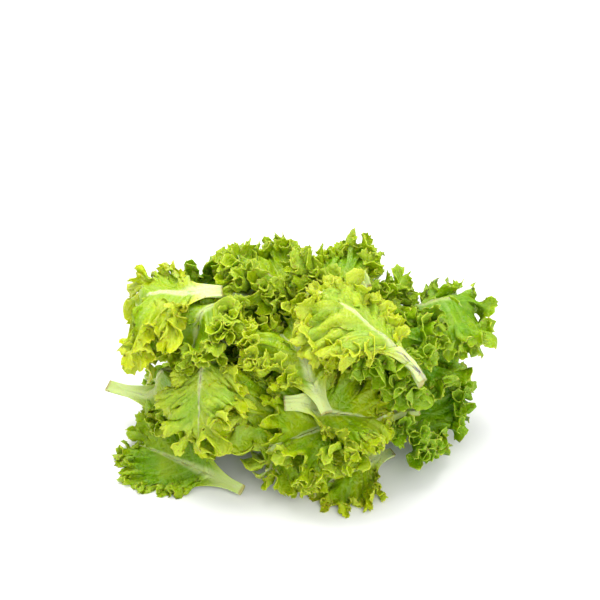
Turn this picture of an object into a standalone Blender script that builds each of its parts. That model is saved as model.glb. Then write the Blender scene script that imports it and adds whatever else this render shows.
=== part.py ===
"""A heap of loose lollo bionda lettuce leaves, picked from one lettuce and dropped on a table.

Every leaf is one solid: a pale crescent-shaped stalk that runs on as the midrib, and a thin
blade that fans out from it into a ruffled edge. The leaves are laid from the bottom of the
heap to the top, and each one bends clear of those already lying under it.
"""
import math
from typing import NamedTuple

import bpy
import numpy as np
from mathutils import Vector
from mathutils.bvhtree import BVHTree

MM = 0.001

# The flat outline of a leaf from the middle of its tip round to the corner of its cut end. Each
# point has its share of the leaf's width and of its length, and then how far up the rib, as a
# share of the length, the side vein that reaches that point leaves the rib.
OUTLINE = (
    (0.00, 1.00, 0.86),
    (0.32, 0.93, 0.63),
    (0.50, 0.74, 0.46),
    (0.47, 0.54, 0.35),
    (0.30, 0.39, 0.27),
    (0.13, 0.28, 0.21),
    (0.06, 0.13, 0.11),
    (0.05, 0.00, 0.00),
)
BLADE_END = 4.7         # place along OUTLINE where the ruffled edge has died out
FADE = 1.2              # stretch of OUTLINE over which it dies out
BLADE_COLUMNS = 14      # side veins that carry the surface on each half of the blade
STALK_COLUMNS = 2       # the same on each side of the stalk
ROWS = (0.0, 0.14, 0.48, 0.78, 1.0)   # shares of the way from the rib to the edge
VEIN_RISE = 0.25        # how much a side vein hurries up the leaf as it sets off from the rib

BLADE_THICKNESS = 0.9 * MM
RIB_STEPS = 40           # straight steps by which the rib's length is measured
RIB_DEPTH = 3.6 * MM     # how far the rib stands out under the blade at the cut end
RIB_HALF_WIDTH = 6.0 * MM
RIB_NARROWEST = 0.35     # share of that half width left where the rib ends
RIB_END = 0.85           # share of the length where the rib has thinned into the blade
FOLD_WIDTH = 4.0 * MM    # how far from the middle of the rib the blade's fold is made

RUFFLE_START = 0.30      # share of the way from the rib to the edge where the ruffles begin
RUFFLE_GROWTH = 1.5      # power by which they grow from there to the edge
RUFFLE_OVERHANG = 0.24   # how far a ruffle leans over its neighbours, as a share of its height
RUFFLE_DRIFT = 1.3       # radians by which the ruffles come early or late
RUFFLE_MEAN = 0.8        # mean height of the ruffles as a share of the leaf's own value
RUFFLE_SPREAD = 0.35     # how far the height wanders round that mean
WANDER_STEP = 0.55       # radians of the slowest wander for each place along OUTLINE
WANDER_TERMS = 3
WANDER_SIZE = 1.4        # brings the wander back to between about -1 and 1
SWELL_SEED = 50          # parts the draw of a leaf's ruffle heights from that of their places

HEAP_ORIGIN = np.array((0.0, 0.0, -150.0)) * MM   # leaves are pushed out along rays from here
REACH = 140 * MM         # how far away along a ray another leaf is looked for
GAP = 1.8 * MM           # clear space kept between one leaf and the next
SETTLE_ROUNDS = 20
SETTLED = 0.05 * MM      # push that is too small to matter
SPREAD_STEPS = 10        # how far a push on one point is felt by the points round it
TABLE_SOFTNESS = 1.5 * MM   # height over which a leaf bends to lie along the table
TABLE_PRESS = 0.3 * MM      # how much of its lowest places is pressed flat there

FRESH_GREEN = (0.13, 0.34, 0.018)   # an outer leaf's blade
PALE_LIME = (0.50, 0.66, 0.10)      # an inner leaf's blade
LEAF_ROUGHNESS = 0.42


class Leaf(NamedTuple):
    """One leaf: lengths in millimetres, angles in degrees."""

    name: str
    foot: tuple          # middle of the cut end of the stalk
    tip: tuple           # middle of the far edge of the blade
    arch: float          # how far the rib bows away from the straight line, out of the heap
    face: float          # turn of the leaf's upper side about its rib: 0 looks out of the heap
    width: float
    pale: float          # 0 is an outer leaf's green, 1 an inner leaf's lime
    seed: int
    fold: float = 8.0    # angle at which each half rises from the rib
    cup: float = 30.0    # further angle gained from the rib to the edge
    ruffle: float = 9.0  # height of the ruffles at the edge
    waves: float = 6.5   # ruffles round the whole edge


LEAVES = (
    Leaf("leaf_floor_back_left", (-15, 18, 3), (-110, 50, -2), 8, 0, 106, 0.3, seed=2, cup=12),
    Leaf("leaf_floor_back_right", (20, 16, 3), (112, 42, -2), 8, 0, 106, 0.3, seed=3, cup=12),
    Leaf("leaf_floor_back", (0, 10, 8), (4, 102, -1), 9, 0, 112, 0.4, seed=4, cup=12),
    Leaf("leaf_floor_left", (-38, -89, 6), (-120, -32, 4), 5, -8, 74, 0.4, seed=5, cup=12),
    Leaf("leaf_front", (68, -50, 9), (8, -88, 2), 5, 8, 66, 0.8, seed=7, fold=0, cup=-10),
    Leaf("leaf_floor_right", (48, -14, 20), (106, -44, 10), 8, 5, 104, 0.1, seed=6, cup=50),
    Leaf("leaf_left_inner", (-114, 20, 16), (-16, -30, 64), 8, 0, 92, 0.0, seed=8, cup=50),
    Leaf("leaf_left_stalk", (-138, -4, 34), (-24, -54, 44), -6, 0, 82, 0.5, seed=9, cup=40),
    Leaf("leaf_front_frill", (25, -42, 42), (-22, -84, 14), 12, 0, 82, 0.6, seed=10, cup=10),
    Leaf("leaf_right_stalk", (84, -52, 46), (-16, -84, 38), 8, 0, 74, 0.6, seed=11),
    Leaf("leaf_front_middle", (-8, -74, 56), (58, -68, 44), 8, 0, 70, 0.7, seed=12),
    Leaf("leaf_back", (0, -6, 46), (-4, 84, 20), 14, 0, 110, 0.3, seed=26, cup=15),
    Leaf("leaf_back_left", (-8, 10, 54), (-84, 56, 30), 14, 0, 104, 0.4, seed=13),
    Leaf("leaf_back_right", (15, 5, 50), (92, 48, 26), 14, 0, 104, 0.3, seed=14),
    Leaf("leaf_back_middle", (-8, 0, 66), (-12, 80, 44), 14, 0, 100, 0.3, seed=27, cup=15),
    Leaf("leaf_middle", (12, 14, 74), (-34, -44, 70), 10, 0, 88, 0.1, seed=28, cup=45),
    Leaf("leaf_front_left", (-46, -30, 66), (-62, -88, 34), 18, 180, 62, 0.8, seed=15, fold=15),
    Leaf("leaf_centre", (20, -86, 68), (-18, -22, 96), 6, 0, 84, 0.7, seed=16, cup=40),
    Leaf("leaf_right_frill", (38, 4, 84), (94, -42, 54), 16, 0, 106, 0.2, seed=17, cup=20,
         ruffle=11, waves=7.5),
    Leaf("leaf_right_tuft", (20, -4, 84), (70, -58, 66), 14, 0, 84, 0.2, seed=29, ruffle=11),
    Leaf("leaf_back_top", (10, -10, 78), (5, 70, 62), 14, 0, 100, 0.4, seed=18),
    Leaf("leaf_upper_left", (-120, 28, 52), (-28, -8, 90), 12, 0, 84, 0.2, seed=21, cup=55),
    Leaf("leaf_left_tuft", (-30, -6, 72), (-72, -46, 60), 12, 0, 68, 0.5, seed=30),
    Leaf("leaf_left_fan", (-40, -12, 62), (-98, -14, 44), 8, 0, 84, 1.0, seed=19),
    Leaf("leaf_right_fan", (50, 16, 78), (126, 0, 56), 8, 15, 80, 0.3, seed=20),
    Leaf("leaf_right_neck", (68, -70, 52), (6, -30, 96), 12, 170, 74, 0.9, seed=22, cup=55),
    Leaf("leaf_top_left", (30, 4, 90), (-48, 24, 102), 10, 0, 84, 0.5, seed=23),
    Leaf("leaf_top_right", (15, 0, 92), (64, 34, 86), 10, 0, 80, 0.3, seed=24),
    Leaf("leaf_top", (44, -8, 98), (12, 30, 112), 10, 0, 78, 0.5, seed=25),
)


def unit(v):
    return v / np.linalg.norm(v, axis=-1, keepdims=True)


def smoothstep(x):
    x = np.clip(x, 0.0, 1.0)
    return x * x * (3 - 2 * x)


def spline(points, places):
    """Points on a smooth curve through evenly numbered points, at fractional places along them."""
    points = np.asarray(points, float)
    last = len(points) - 1
    start = np.clip(places.astype(int), 0, last - 1)
    t = (places - start)[:, None]
    first_piece = (start == 0)[:, None]
    last_piece = (start == last - 1)[:, None]
    p1, p2 = points[start], points[start + 1]
    p0 = np.where(first_piece, 2 * p1 - p2, points[np.maximum(start - 1, 0)])
    p3 = np.where(last_piece, 2 * p2 - p1, points[np.minimum(start + 2, last)])
    return 0.5 * (
        2 * p1
        + (p2 - p0) * t
        + (2 * p0 - 5 * p1 + 4 * p2 - p3) * t**2
        + (3 * p1 - p0 - 3 * p2 + p3) * t**3
    )


def column_places():
    """Signed places along the edge, from the left corner of the cut end round to the right one."""
    blade = np.linspace(0.0, BLADE_END, BLADE_COLUMNS + 1)
    stalk = np.linspace(BLADE_END, len(OUTLINE) - 1.0, STALK_COLUMNS + 1)[1:]
    half = np.concatenate([blade, stalk])
    return np.concatenate([-half[:0:-1], half])


def rib_curve(leaf):
    """The rib's arc: its ends and control point, its axis, the way it bows, and its length."""
    foot = np.array(leaf.foot) * MM
    tip = np.array(leaf.tip) * MM
    middle = (foot + tip) / 2
    axis = unit(tip - foot)
    away = unit(middle - HEAP_ORIGIN)
    up = unit(away - axis * (away @ axis))
    control = middle + up * leaf.arch * MM * 2
    t = np.linspace(0, 1, RIB_STEPS + 1)[:, None]
    curve = (1 - t) ** 2 * foot + 2 * t * (1 - t) * control + t**2 * tip
    steps = np.linalg.norm(np.diff(curve, axis=0), axis=1)
    reached = np.concatenate([[0], np.cumsum(steps)])
    return foot, control, tip, axis, up, reached


def flat_leaf(leaf, length, places):
    """The leaf pressed flat: x across, y up the rib, for every column and row, in metres."""
    full = [(-x, y, root) for x, y, root in OUTLINE[:0:-1]] + list(OUTLINE)
    edge = spline(full, places + len(OUTLINE) - 1)
    edge_x = edge[:, :1] * leaf.width * MM
    edge_y = edge[:, 1:2] * length
    root_y = edge[:, 2:] * length
    row = np.array(ROWS)
    rise = row * (1 + VEIN_RISE * (1 - row))
    return np.stack([edge_x * row, root_y + (edge_y - root_y) * rise], axis=-1)


def wander(seed, places):
    """Smooth seeded drift along the edge, between about -1 and 1."""
    rng = np.random.default_rng(seed)
    total = np.zeros(len(places))
    for k in range(1, WANDER_TERMS + 1):
        phase, size = rng.uniform(0, 2 * math.pi), rng.uniform(0.5, 1.0) / k
        total += size * np.sin(k * WANDER_STEP * places + phase)
    return total / WANDER_SIZE


def ruffled(leaf, flat, places):
    """Lifts the flat leaf into ruffles that grow towards its edge: x across, y up, z off the sheet."""
    row = np.array(ROWS)
    growth = np.clip((row - RUFFLE_START) / (1 - RUFFLE_START), 0, 1) ** RUFFLE_GROWTH
    fade = smoothstep((BLADE_END - np.abs(places)) / FADE)
    swell = RUFFLE_MEAN + RUFFLE_SPREAD * wander(leaf.seed + SWELL_SEED, places)
    phase = math.pi * leaf.waves / BLADE_END * places + leaf.seed
    phase = (phase + RUFFLE_DRIFT * wander(leaf.seed, places))[:, None]
    height = leaf.ruffle * MM * (swell * fade)[:, None] * growth
    along = unit(np.gradient(flat, axis=0) + 1e-9)
    lean = -RUFFLE_OVERHANG * height * np.sin(2 * phase)
    return np.dstack([flat + along * lean[..., None], height * np.sin(phase)])


def placed(leaf, wavy, rib):
    """Bends the ruffled sheet round its rib and stands it in the heap."""
    foot, control, tip, axis, up, reached = rib
    x, y, z = wavy[..., 0], wavy[..., 1], wavy[..., 2]
    t = np.interp(y, reached, np.linspace(0, 1, len(reached)))[..., None]
    centre = (1 - t) ** 2 * foot + 2 * t * (1 - t) * control + t**2 * tip
    tangent = unit((1 - t) * (control - foot) + t * (tip - control))
    centre = centre + tangent * np.clip(y - reached[-1], 0, None)[..., None]
    turn = math.radians(leaf.face)
    facing = up * math.cos(turn) + np.cross(axis, up) * math.sin(turn)
    normal = unit(facing - tangent * (tangent @ facing)[..., None])
    across = np.cross(tangent, normal)
    u = np.abs(x)
    side = np.where(x < 0, -1.0, 1.0)
    fold = math.radians(leaf.fold) * u / (u + FOLD_WIDTH)
    curvature = math.radians(leaf.cup) / (leaf.width * MM / 2)
    angle = fold + curvature * u
    along_across = (np.sin(angle) - np.sin(fold)) / curvature * side
    along_normal = (np.cos(fold) - np.cos(angle)) / curvature
    return (
        centre
        + across * (along_across - side * np.sin(angle) * z)[..., None]
        + normal * (along_normal + np.cos(angle) * z)[..., None]
    )


def thickness(leaf, flat, length):
    """Depth of the leaf below its middle surface: the blade's half and the rib that stands out of it."""
    up = np.clip(flat[..., 1] / length, 0, 1)
    taper = np.clip(1 - up / RIB_END, 0, 1)
    half = RIB_HALF_WIDTH * (RIB_NARROWEST + (1 - RIB_NARROWEST) * taper)
    profile = np.clip(1 - (flat[..., 0] / half) ** 2, 0, 1)
    return BLADE_THICKNESS / 2 + RIB_DEPTH * taper * profile


def outward(points):
    return unit(points - HEAP_ORIGIN)


def slopes(points):
    """How far each point's ray leans along x and y for each step up."""
    rays = points - HEAP_ORIGIN
    return rays[:, :2] / rays[:, 2:]


class Sheet:
    """The net of a leaf's middle surface: its columns of side veins all start on the shared rib."""

    def __init__(self):
        columns, rows = len(column_places()), len(ROWS)
        index = np.empty((columns, rows), int)
        index[:, 0] = np.abs(np.arange(columns) - columns // 2)
        loose = columns // 2 + 1 + np.arange(columns * (rows - 1))
        index[:, 1:] = loose.reshape(columns, rows - 1)
        self.index = index
        self.count = int(index.max()) + 1
        a, b, c, d = index[:-1, :-1], index[1:, :-1], index[1:, 1:], index[:-1, 1:]
        steps = np.add.outer(np.arange(columns - 1) - columns // 2, np.arange(rows - 1))
        even = steps[..., None] % 2 == 0
        first = np.where(even, np.stack([a, b, c], -1), np.stack([a, b, d], -1))
        second = np.where(even, np.stack([a, c, d], -1), np.stack([b, c, d], -1))
        upper = np.concatenate([first.reshape(-1, 3), second.reshape(-1, 3)])
        near = np.concatenate([index[:, -1], index[-1, -2::-1], index[0, 1:-1]])
        far = np.roll(near, -1)
        n = self.count
        rim = [np.stack([near, far, far + n], -1), np.stack([near, far + n, near + n], -1)]
        self.upper = upper
        self.faces = np.concatenate([upper, upper[:, ::-1] + n, *rim])
        self.pairs = self.edges(upper)
        self.neighbours = np.bincount(self.pairs.ravel(), minlength=n)
        self.probes = self.probe_corners()

    @staticmethod
    def edges(faces):
        ends = np.concatenate([faces[:, [0, 1]], faces[:, [1, 2]], faces[:, [2, 0]]])
        return np.unique(np.sort(ends, axis=1), axis=0)

    def probe_corners(self):
        """Six corners each for the places that must stay clear, which lie at their mean."""
        corners = np.arange(2 * self.count)[:, None]
        edges = self.edges(self.faces)
        return np.concatenate(
            [
                corners[:, [0, 0, 0, 0, 0, 0]],
                edges[:, [0, 0, 0, 0, 0, 1]],
                edges[:, [0, 0, 0, 0, 1, 1]],
                edges[:, [0, 0, 0, 1, 1, 1]],
                edges[:, [0, 0, 1, 1, 1, 1]],
                edges[:, [0, 1, 1, 1, 1, 1]],
                self.faces[:, [0, 0, 1, 1, 2, 2]],
            ]
        )

    def flatten(self, grid):
        points = np.empty((self.count, grid.shape[-1]))
        points[self.index] = grid
        return points

    def shell(self, points, depth):
        """The corners of the closed leaf: its upper side, then its under side, none under the table."""
        corners = points[self.upper]
        face = np.cross(corners[:, 1] - corners[:, 0], corners[:, 2] - corners[:, 0])
        normal = np.zeros_like(points)
        for k in range(3):
            np.add.at(normal, self.upper[:, k], face)
        normal = unit(normal)
        over = points + normal * BLADE_THICKNESS / 2
        under = points - normal * depth[:, None]
        over[:, 2] = np.maximum(over[:, 2], BLADE_THICKNESS * (normal[:, 2] > 0))
        under[:, 2] = np.maximum(under[:, 2], BLADE_THICKNESS * (normal[:, 2] < 0))
        return np.concatenate([over, under])

    def spread(self, need):
        """A smooth push over the sheet that is nowhere less than what each point needs."""
        push = need.copy()
        for _ in range(SPREAD_STEPS):
            total = np.zeros(self.count)
            np.add.at(total, self.pairs[:, 0], push[self.pairs[:, 1]])
            np.add.at(total, self.pairs[:, 1], push[self.pairs[:, 0]])
            push = np.maximum(need, (push + total / self.neighbours) / 2)
        return push


class Heap:
    """The leaves laid so far, as one surface for the next leaf to settle on."""

    def __init__(self, sheet):
        self.sheet = sheet
        self.shells = []

    def add(self, shell):
        self.shells.append(shell)
        corners = np.concatenate(self.shells)
        firsts = np.arange(len(self.shells)) * len(shell)
        faces = (self.sheet.faces[None] + firsts[:, None, None]).reshape(-1, 3)
        self.surface = BVHTree.FromPolygons(corners.tolist(), faces.tolist())
        self.places = np.concatenate([s[self.sheet.probes].mean(axis=1) for s in self.shells])

    def need(self, shell):
        """How far each point of a leaf has to move outwards to clear the heap."""
        need = np.zeros(self.sheet.count)
        if not self.shells:
            return need
        places = shell[self.sheet.probes].mean(axis=1)
        rays = outward(places)
        starts = places + rays * REACH
        for start, ray, owners in zip(starts, rays, self.sheet.probes % self.sheet.count):
            distance = self.surface.ray_cast(Vector(start), Vector(-ray), 2 * REACH)[3]
            if distance is not None:
                need[owners] = np.maximum(need[owners], REACH - distance + GAP)
        lean, own_lean = slopes(self.places), slopes(shell)
        inside = (lean > own_lean.min(axis=0)) & (lean < own_lean.max(axis=0))
        places = self.places[inside.all(axis=1)]
        rays = outward(places)
        leaf = BVHTree.FromPolygons(shell.tolist(), self.sheet.faces.tolist())
        for start, ray in zip(places - rays * REACH, rays):
            _, _, face, distance = leaf.ray_cast(Vector(start), Vector(ray), 2 * REACH)
            if distance is not None:
                owners = self.sheet.faces[face] % self.sheet.count
                need[owners] = np.maximum(need[owners], REACH - distance + GAP)
        return need

    def lay(self, leaf):
        """Bends a leaf outwards until it clears everything under it: its middle surface and depths."""
        rib = rib_curve(leaf)
        places = column_places()
        flat = flat_leaf(leaf, rib[-1][-1], places)
        points = self.sheet.flatten(placed(leaf, ruffled(leaf, flat, places), rib))
        depth = self.sheet.flatten(thickness(leaf, flat, rib[-1][-1])[..., None])[:, 0]
        lowest = depth - TABLE_PRESS
        above = (points[:, 2] - lowest) / TABLE_SOFTNESS
        points[:, 2] = lowest + TABLE_SOFTNESS * np.logaddexp(0, above)
        for _ in range(SETTLE_ROUNDS):
            need = self.need(self.sheet.shell(points, depth))
            if need.max() < SETTLED:
                break
            points = points + outward(points) * self.sheet.spread(need)[:, None]
        self.add(self.sheet.shell(points, depth))
        return points, depth


def leaf_material(leaf):
    material = bpy.data.materials.new(leaf.name)
    material.use_nodes = True
    shader = material.node_tree.nodes["Principled BSDF"]
    colour = np.array(FRESH_GREEN) + leaf.pale * (np.array(PALE_LIME) - np.array(FRESH_GREEN))
    shader.inputs["Base Color"].default_value = (*colour, 1)
    shader.inputs["Roughness"].default_value = LEAF_ROUGHNESS
    return material


def leaf_object(leaf, shell, faces):
    mesh = bpy.data.meshes.new(leaf.name)
    mesh.from_pydata(shell.tolist(), [], faces.tolist())
    mesh.shade_smooth()
    mesh.materials.append(leaf_material(leaf))
    obj = bpy.data.objects.new(leaf.name, mesh)
    bpy.context.scene.collection.objects.link(obj)


def main():
    for obj in list(bpy.data.objects):
        bpy.data.objects.remove(obj)
    sheet = Sheet()
    heap = Heap(sheet)
    for leaf in LEAVES:
        heap.lay(leaf)
    corners = np.concatenate(heap.shells)
    middle = (corners.min(axis=0) + corners.max(axis=0)) / 2
    middle[2] = 0
    for leaf, shell in zip(LEAVES, heap.shells):
        leaf_object(leaf, shell - middle, sheet.faces)


if __name__ == "__main__":
    main()
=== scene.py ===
import math
from typing import NamedTuple

import bpy
import numpy as np
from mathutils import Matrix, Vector
from mathutils.bvhtree import BVHTree


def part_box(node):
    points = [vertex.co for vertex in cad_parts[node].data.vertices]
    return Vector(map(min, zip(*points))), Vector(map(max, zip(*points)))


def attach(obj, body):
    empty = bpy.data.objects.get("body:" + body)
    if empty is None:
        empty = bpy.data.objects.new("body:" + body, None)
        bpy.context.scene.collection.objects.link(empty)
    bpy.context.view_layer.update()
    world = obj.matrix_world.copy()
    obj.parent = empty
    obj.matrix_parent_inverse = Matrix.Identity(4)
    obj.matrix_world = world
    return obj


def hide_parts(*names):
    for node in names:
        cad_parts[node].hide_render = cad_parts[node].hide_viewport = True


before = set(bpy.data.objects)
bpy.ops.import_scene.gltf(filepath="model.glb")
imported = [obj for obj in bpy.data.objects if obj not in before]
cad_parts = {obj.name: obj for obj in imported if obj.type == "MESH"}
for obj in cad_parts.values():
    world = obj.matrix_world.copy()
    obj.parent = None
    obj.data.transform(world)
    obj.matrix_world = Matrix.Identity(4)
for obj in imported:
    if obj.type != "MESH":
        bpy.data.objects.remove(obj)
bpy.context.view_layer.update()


# The view of the photograph: a long lens that looks down on the heap from its front, over a white
# table, under a big soft light from above and a weaker one from the front.
LENS = 85.0
CAMERA_DISTANCE = 0.992
CAMERA_RISE = math.radians(32)
CAMERA_AIM = Vector((0.002, 0.0, 0.107))
LIGHT_AIM = (0, 0, 0.05)
STUDIO_WHITE = (1, 1, 1, 1)
STUDIO_STRENGTH = 0.95
TABLE_WHITE = (0.93, 0.93, 0.94, 1)
TABLE_ROUGHNESS = 0.5
TABLE_SIZE = 8

camera_data = bpy.data.cameras.new("photograph")
camera_data.lens = LENS
camera = bpy.data.objects.new("photograph", camera_data)
bpy.context.scene.collection.objects.link(camera)
back = Vector((0, -math.cos(CAMERA_RISE), math.sin(CAMERA_RISE)))
camera.location = CAMERA_AIM + back * CAMERA_DISTANCE
camera.rotation_euler = (-back).to_track_quat("-Z", "Y").to_euler()
bpy.context.scene.camera = camera
bpy.context.scene.view_settings.view_transform = "Standard"


def soft_light(name, place, size, watts):
    data = bpy.data.lights.new(name, "AREA")
    data.shape = "DISK"
    data.size = size
    data.energy = watts
    lamp = bpy.data.objects.new(name, data)
    lamp.location = place
    lamp.rotation_euler = (Vector(LIGHT_AIM) - Vector(place)).to_track_quat("-Z", "Y").to_euler()
    bpy.context.scene.collection.objects.link(lamp)


soft_light("main softbox", (-0.18, 0.22, 1.10), size=1.0, watts=12)
soft_light("front fill", (0.4, -1.0, 0.7), size=0.9, watts=7)

world = bpy.data.worlds.new("white studio")
world.use_nodes = True
sky = world.node_tree.nodes["Background"]
sky.inputs["Color"].default_value = STUDIO_WHITE
sky.inputs["Strength"].default_value = STUDIO_STRENGTH
bpy.context.scene.world = world

bpy.ops.object.select_all(action="DESELECT")
bpy.ops.mesh.primitive_plane_add(size=TABLE_SIZE, location=(0, 0, 0))
table = bpy.context.object
table.name = "white_table"
table_paint = bpy.data.materials.new("white table")
table_paint.use_nodes = True
table_coat = table_paint.node_tree.nodes["Principled BSDF"]
table_coat.inputs["Base Color"].default_value = TABLE_WHITE
table_coat.inputs["Roughness"].default_value = TABLE_ROUGHNESS
table.data.materials.append(table_paint)


# The leaf as it grows: a pale crescent-shaped stalk that runs on as the midrib, side veins that leave
# it on both sides, and a blade between them that ends in ruffles. These are the CAD leaves' own
# outline and ruffles, because the finer leaf follows the same surface.
MM = 0.001
TINY = 1e-9
OUTLINE = (
    (0.00, 1.00, 0.86),
    (0.32, 0.93, 0.63),
    (0.50, 0.74, 0.46),
    (0.47, 0.54, 0.35),
    (0.30, 0.39, 0.27),
    (0.13, 0.28, 0.21),
    (0.06, 0.13, 0.11),
    (0.05, 0.00, 0.00),
)
BLADE_END = 4.7
FADE = 1.2
BLADE_COLUMNS = 14
STALK_COLUMNS = 2
ROWS = np.array((0.0, 0.14, 0.48, 0.78, 1.0))
VEIN_RISE = 0.25
CAD_THICKNESS = 0.9 * MM
RIB_STEPS = 40
RIB_DEPTH = 3.6 * MM
RIB_HALF_WIDTH = 6.0 * MM
RIB_NARROWEST = 0.35
RIB_END = 0.85
FOLD_WIDTH = 4.0 * MM
RUFFLE_START = 0.30
RUFFLE_GROWTH = 1.5
RUFFLE_OVERHANG = 0.24
RUFFLE_DRIFT = 1.3
RUFFLE_MEAN = 0.8
RUFFLE_SPREAD = 0.35
WANDER_STEP = 0.55
WANDER_TERMS = 3
WANDER_SIZES = (0.5, 1.0)
WANDER_PEAK = 1.4
SWELL_SEED = 50
HEAP_ORIGIN = np.array((0.0, 0.0, -150.0)) * MM


class Leaf(NamedTuple):
    """One leaf: lengths in millimetres, angles in degrees."""

    name: str
    foot: tuple          # middle of the cut end of the stalk
    tip: tuple           # middle of the far edge of the blade
    arch: float          # how far the rib bows away from the straight line, out of the heap
    face: float          # turn of the leaf's upper side about its rib: 0 looks out of the heap
    width: float
    pale: float          # 0 is an outer leaf's green, 1 an inner leaf's lime
    seed: int
    fold: float = 8.0    # angle at which each half rises from the rib
    cup: float = 30.0    # further angle gained from the rib to the edge
    ruffle: float = 9.0  # height of the large ruffles at the edge
    waves: float = 6.5   # large ruffles round the whole edge


def unit(v):
    return v / np.linalg.norm(v, axis=-1, keepdims=True)


def smoothstep(x):
    x = np.clip(x, 0.0, 1.0)
    return x * x * (3 - 2 * x)


def spline(points, places):
    """Points on a smooth curve through evenly numbered points, at fractional places along them."""
    points = np.asarray(points, float)
    last = len(points) - 1
    start = np.clip(places.astype(int), 0, last - 1)
    t = (places - start)[:, None]
    first_piece = (start == 0)[:, None]
    last_piece = (start == last - 1)[:, None]
    p1, p2 = points[start], points[start + 1]
    p0 = np.where(first_piece, 2 * p1 - p2, points[np.maximum(start - 1, 0)])
    p3 = np.where(last_piece, 2 * p2 - p1, points[np.minimum(start + 2, last)])
    return 0.5 * (
        2 * p1
        + (p2 - p0) * t
        + (2 * p0 - 5 * p1 + 4 * p2 - p3) * t**2
        + (3 * p1 - p0 - 3 * p2 + p3) * t**3
    )


def column_places():
    """Signed places along the edge, from the left corner of the cut end round to the right one."""
    blade = np.linspace(0.0, BLADE_END, BLADE_COLUMNS + 1)
    stalk = np.linspace(BLADE_END, len(OUTLINE) - 1.0, STALK_COLUMNS + 1)[1:]
    half = np.concatenate([blade, stalk])
    return np.concatenate([-half[:0:-1], half])


def rib_curve(leaf):
    """The rib's arc: its ends and control point, its axis, the way it bows, and its length."""
    foot = np.array(leaf.foot) * MM
    tip = np.array(leaf.tip) * MM
    middle = (foot + tip) / 2
    axis = unit(tip - foot)
    away = unit(middle - HEAP_ORIGIN)
    up = unit(away - axis * (away @ axis))
    control = middle + up * leaf.arch * MM * 2
    t = np.linspace(0, 1, RIB_STEPS + 1)[:, None]
    curve = (1 - t) ** 2 * foot + 2 * t * (1 - t) * control + t**2 * tip
    steps = np.linalg.norm(np.diff(curve, axis=0), axis=1)
    reached = np.concatenate([[0], np.cumsum(steps)])
    return foot, control, tip, axis, up, reached


def flat_leaf(leaf, length, places, rows=ROWS):
    """The leaf pressed flat: x across, y up the rib, for every column and row, in metres."""
    full = [(-x, y, root) for x, y, root in OUTLINE[:0:-1]] + list(OUTLINE)
    edge = spline(full, places + len(OUTLINE) - 1)
    edge_x = edge[:, :1] * leaf.width * MM
    edge_y = edge[:, 1:2] * length
    root_y = edge[:, 2:] * length
    rise = rows * (1 + VEIN_RISE * (1 - rows))
    return np.stack([edge_x * rows, root_y + (edge_y - root_y) * rise], axis=-1)


def wander(seed, places):
    """Smooth seeded drift along the edge, between about -1 and 1."""
    rng = np.random.default_rng(seed)
    total = np.zeros(len(places))
    for k in range(1, WANDER_TERMS + 1):
        phase, size = rng.uniform(0, 2 * math.pi), rng.uniform(*WANDER_SIZES) / k
        total += size * np.sin(k * WANDER_STEP * places + phase)
    return total / WANDER_PEAK


def ruffled(leaf, flat, places):
    """Lifts the flat leaf into its large ruffles: x across, y up, z off the sheet."""
    growth = np.clip((ROWS - RUFFLE_START) / (1 - RUFFLE_START), 0, 1) ** RUFFLE_GROWTH
    fade = smoothstep((BLADE_END - np.abs(places)) / FADE)
    swell = RUFFLE_MEAN + RUFFLE_SPREAD * wander(leaf.seed + SWELL_SEED, places)
    phase = math.pi * leaf.waves / BLADE_END * places + leaf.seed
    phase = (phase + RUFFLE_DRIFT * wander(leaf.seed, places))[:, None]
    height = leaf.ruffle * MM * (swell * fade)[:, None] * growth
    along = unit(np.gradient(flat, axis=0) + TINY)
    lean = -RUFFLE_OVERHANG * height * np.sin(2 * phase)
    return np.dstack([flat + along * lean[..., None], height * np.sin(phase)])


def placed(leaf, wavy, rib):
    """Bends the ruffled sheet round its rib and stands it in the heap."""
    foot, control, tip, axis, up, reached = rib
    x, y, z = wavy[..., 0], wavy[..., 1], wavy[..., 2]
    t = np.interp(y, reached, np.linspace(0, 1, len(reached)))[..., None]
    centre = (1 - t) ** 2 * foot + 2 * t * (1 - t) * control + t**2 * tip
    tangent = unit((1 - t) * (control - foot) + t * (tip - control))
    centre = centre + tangent * np.clip(y - reached[-1], 0, None)[..., None]
    turn = math.radians(leaf.face)
    facing = up * math.cos(turn) + np.cross(axis, up) * math.sin(turn)
    normal = unit(facing - tangent * (tangent @ facing)[..., None])
    across = np.cross(tangent, normal)
    u = np.abs(x)
    side = np.where(x < 0, -1.0, 1.0)
    fold = math.radians(leaf.fold) * u / (u + FOLD_WIDTH)
    curvature = math.radians(leaf.cup) / (leaf.width * MM / 2)
    angle = fold + curvature * u
    along_across = (np.sin(angle) - np.sin(fold)) / curvature * side
    along_normal = (np.cos(fold) - np.cos(angle)) / curvature
    return (
        centre
        + across * (along_across - side * np.sin(angle) * z)[..., None]
        + normal * (along_normal + np.cos(angle) * z)[..., None]
    )


def rib_relief(flat, length):
    """How far the stalk and rib stand out under the blade."""
    up = np.clip(flat[..., 1] / length, 0, 1)
    taper = np.clip(1 - up / RIB_END, 0, 1)
    half = RIB_HALF_WIDTH * (RIB_NARROWEST + (1 - RIB_NARROWEST) * taper)
    return RIB_DEPTH * taper * np.clip(1 - (flat[..., 0] / half) ** 2, 0, 1)


# The heap: each leaf dropped on those before it gives way outwards, along lines from a point deep
# under the table, until it lies clear of them. This is how the CAD leaves were laid, so the finer
# leaves come to lie where they do.
REACH = 140 * MM
GAP = 1.8 * MM
SETTLE_ROUNDS = 20
SETTLED = 0.05 * MM
SPREAD_STEPS = 10
TABLE_SOFTNESS = 1.5 * MM
TABLE_PRESS = 0.3 * MM


def outward(points):
    return unit(points - HEAP_ORIGIN)


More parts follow.
